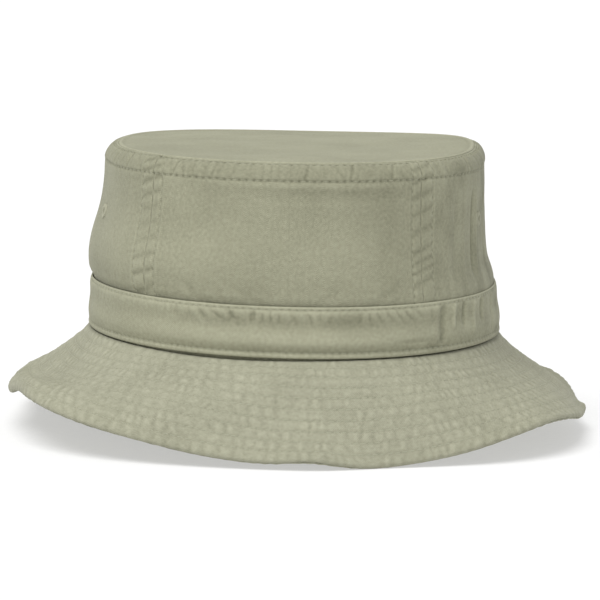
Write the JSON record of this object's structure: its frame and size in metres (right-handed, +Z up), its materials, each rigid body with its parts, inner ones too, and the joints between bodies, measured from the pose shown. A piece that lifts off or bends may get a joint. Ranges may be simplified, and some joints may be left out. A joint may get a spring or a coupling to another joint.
{
  "type": "bucket hat",
  "caption": "Washed cotton bucket hat: flat oval top, four-panel crown with a sewn band, and a stitched brim that slopes down all round.",
  "frame": {"origin": "centre of the hat's box on the plane its brim edge stands on", "axes": "+Z up through the crown's flat top, -Y is the front of the hat, +X the wearer's left"},
  "size_m": [0.2486, 0.2688, 0.1203],
  "materials": {
    "cloth": "washed cotton twill, matt",
    "sweatband_cloth": "cotton twill tape, matt",
    "seam_tape": "woven binding tape, matt",
    "interlining": "stiff non-woven, matt",
    "eyelet_thread": "overcast cotton thread, slight sheen",
    "label": "plain woven label, blank"
  },
  "bodies": {
    "root": {"crown_top_panel": "cloth", "hat_band": "cloth", "sweatband": "sweatband_cloth", "size_label": "label", "crown_front_panel": "cloth", "crown_left_panel": "cloth", "crown_back_panel": "cloth", "crown_right_panel": "cloth", "seam_tape_front_right": "seam_tape", "seam_tape_front_left": "seam_tape", "seam_tape_back_left": "seam_tape", "seam_tape_back_right": "seam_tape", "seam_tape_top": "seam_tape", "eyelet_1": "eyelet_thread", "eyelet_2": "eyelet_thread", "eyelet_3": "eyelet_thread", "eyelet_4": "eyelet_thread", "brim_upper_front": "cloth", "brim_under_front": "cloth", "brim_interlining_front": "interlining", "brim_upper_back": "cloth", "brim_under_back": "cloth", "brim_interlining_back": "interlining"}
  },
  "joints": []
}
